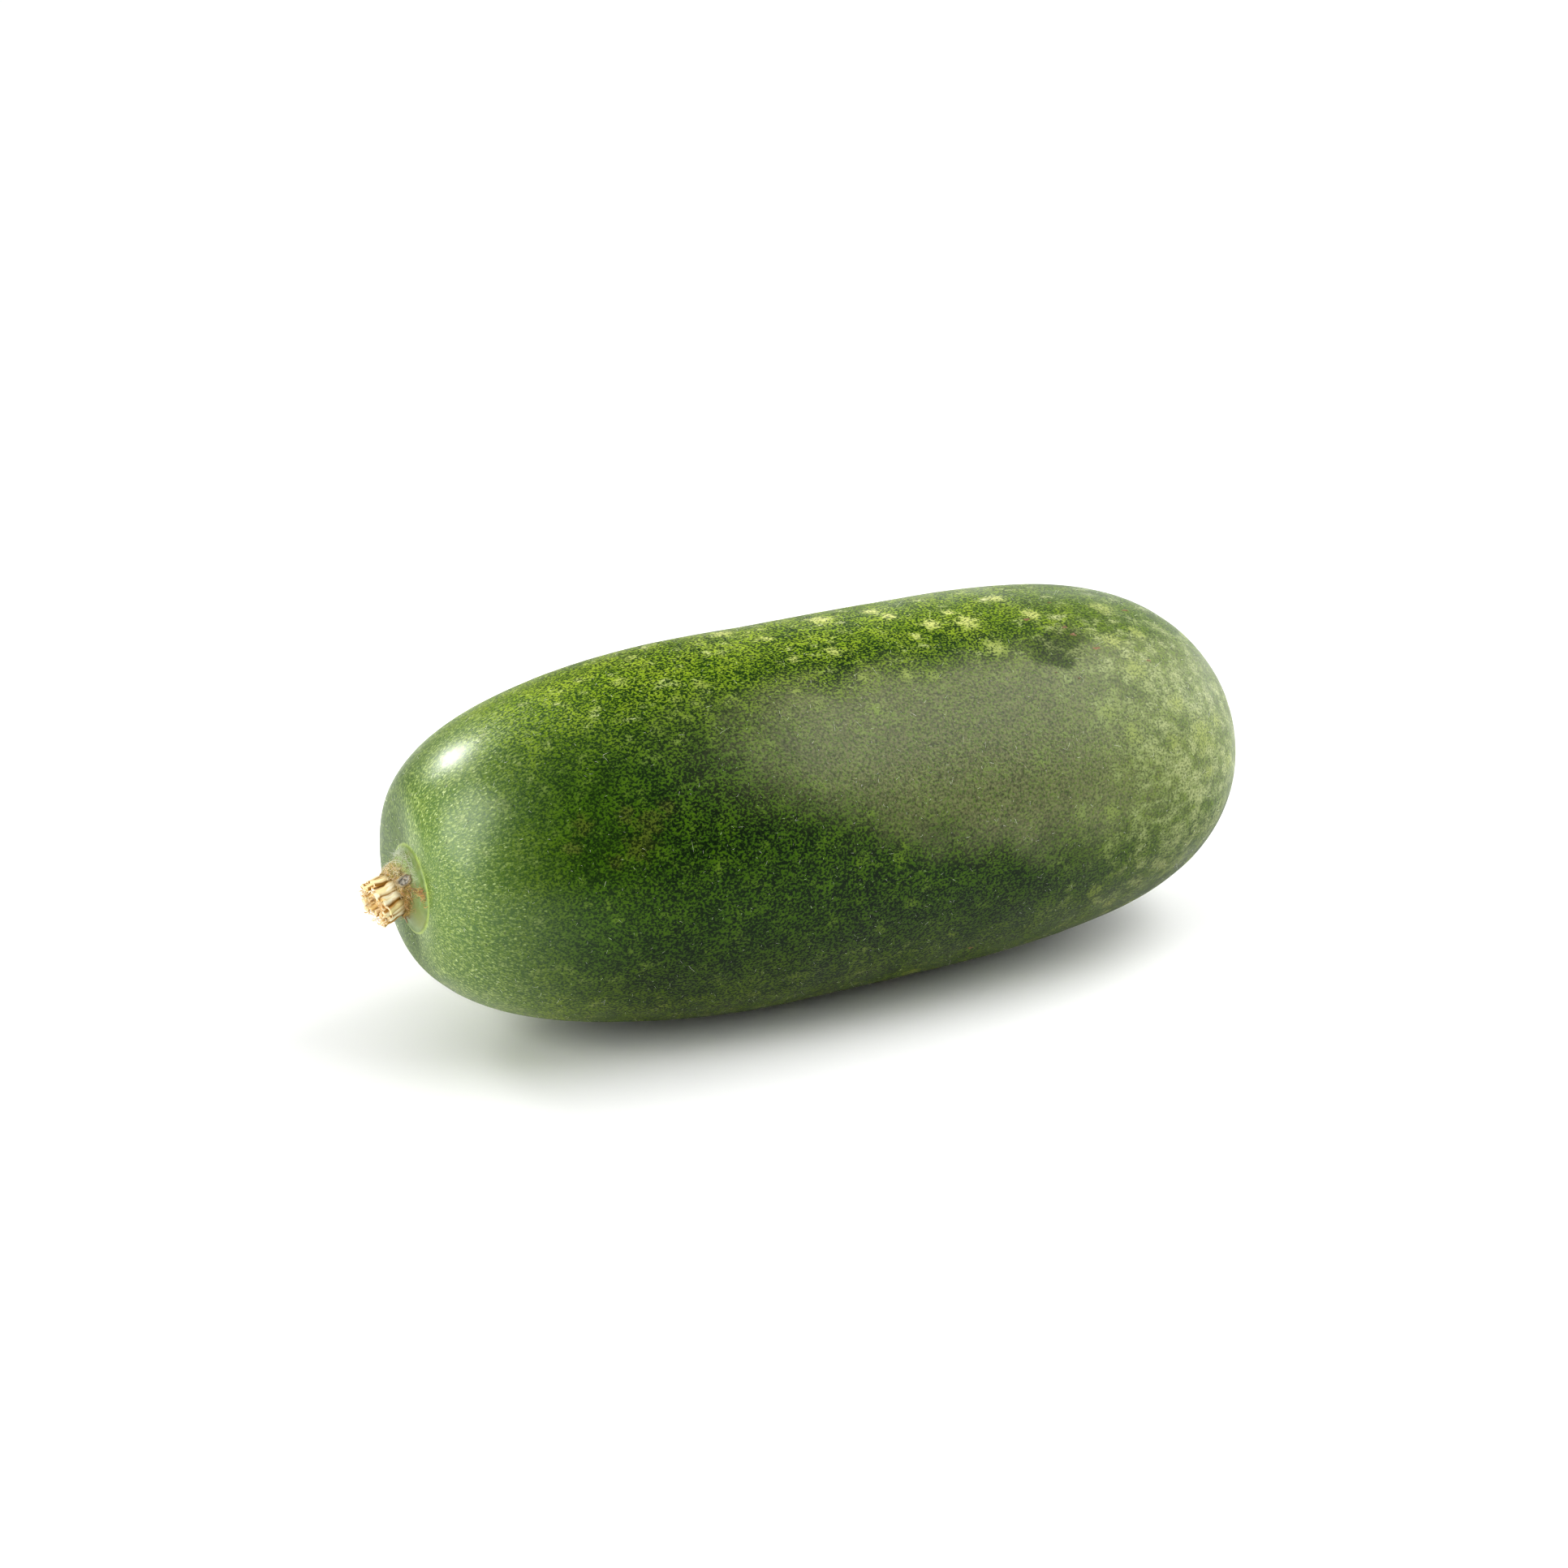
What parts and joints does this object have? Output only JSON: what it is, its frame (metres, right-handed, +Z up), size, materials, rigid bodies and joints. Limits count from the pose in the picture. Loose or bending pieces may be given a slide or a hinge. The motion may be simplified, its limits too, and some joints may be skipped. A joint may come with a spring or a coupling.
{
  "type": "fuzzy melon",
  "caption": "Whole fuzzy melon, a young wax gourd as picked: an oblong green fruit with a pale collar and a short fibrous stalk stub, lying on its side.",
  "frame": {"origin": "on the ground, under the middle of the box round the whole fruit and its stalk", "axes": "+X along the fruit from the stalk to the blossom end, +Z up"},
  "size_m": [0.173, 0.0702, 0.0666],
  "materials": {
    "skin": "satin green fruit skin with a fine pale mottle and sparse short hairs",
    "stalk": "dry straw-coloured plant fibre, matt"
  },
  "bodies": {
    "root": {"fruit": "skin", "stem": "stalk"}
  },
  "joints": []
}
